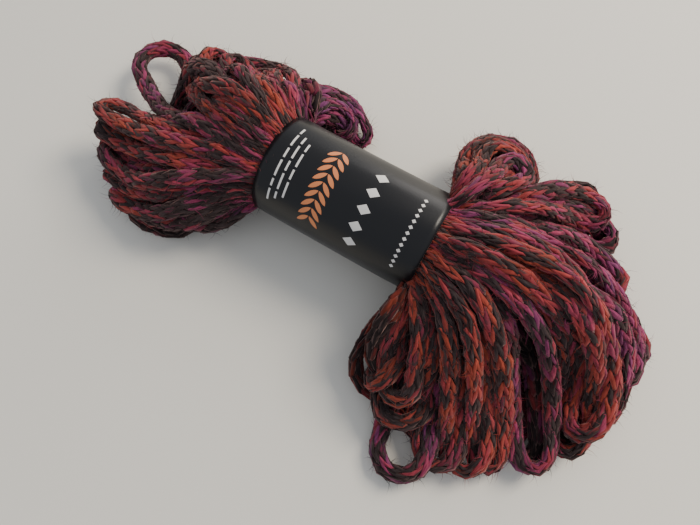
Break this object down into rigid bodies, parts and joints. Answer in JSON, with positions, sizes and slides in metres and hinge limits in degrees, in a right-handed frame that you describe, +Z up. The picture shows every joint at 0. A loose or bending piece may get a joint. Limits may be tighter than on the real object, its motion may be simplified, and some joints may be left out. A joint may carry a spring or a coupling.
{
  "type": "hank of yarn",
  "caption": "Loose hank of bulky chain-knit yarn, gathered at its middle by a paper label band, with both ends fanned out in loops.",
  "frame": {"origin": "on the ground below the middle of the hank's outline", "axes": "+X along the label band's axis towards the wider fan, +Z up from the ground the hank lies on"},
  "size_m": [0.2598, 0.1512, 0.0526],
  "materials": {
    "yarn": "brushed marl of coral, rose and brown-black",
    "label_paper": "satin coated black paper"
  },
  "bodies": {
    "root": {"hank": "yarn", "band": "label_paper"}
  },
  "joints": []
}
